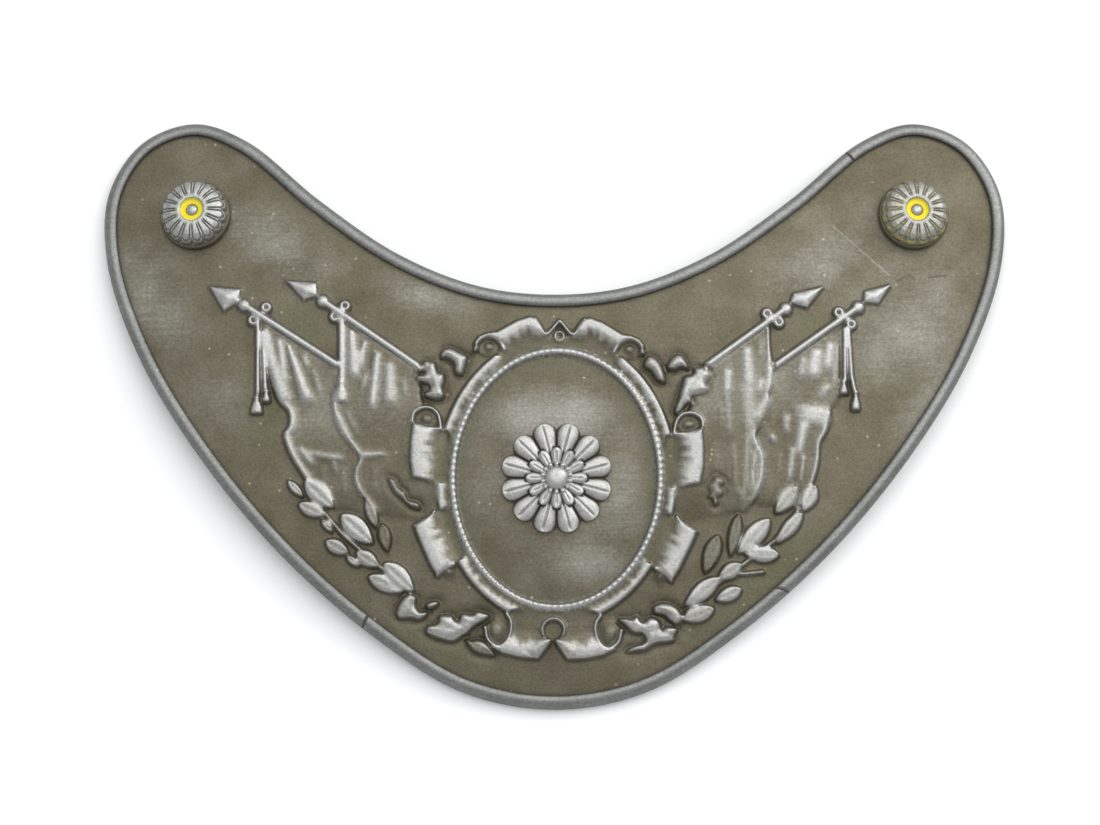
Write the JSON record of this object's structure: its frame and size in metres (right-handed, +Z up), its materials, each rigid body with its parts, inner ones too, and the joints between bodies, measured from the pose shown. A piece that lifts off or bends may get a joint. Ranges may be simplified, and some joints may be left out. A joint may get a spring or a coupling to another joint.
{
  "type": "steel gorget",
  "caption": "Crescent-shaped steel gorget with a stamped cartouche, draped flags and wreath, an edge binding and petalled corner studs; worn at the neck as a badge of office.",
  "frame": {"origin": "bottom centre of the object's box as it lies face up", "axes": "+X to the right across the width, +Y towards the neck, +Z up out of the decorated face"},
  "size_m": [0.1924, 0.1256, 0.0146],
  "materials": {
    "plate": "stamped sheet steel with a brown patina, silver where the relief is worn",
    "rim": "folded steel binding, worn grey with dirt in the crease",
    "boss": "stamped petalled stud, worn silver with yellow paint in its eye",
    "pin": "turned steel pin with a rounded head",
    "rosette": "stamped rosette, worn silver with dark grooves"
  },
  "bodies": {
    "root": {"plate": "plate", "rim": "rim", "boss_left": "boss", "boss_right": "boss", "pin_left": "pin", "pin_right": "pin", "centre_rosette": "rosette"}
  },
  "joints": []
}
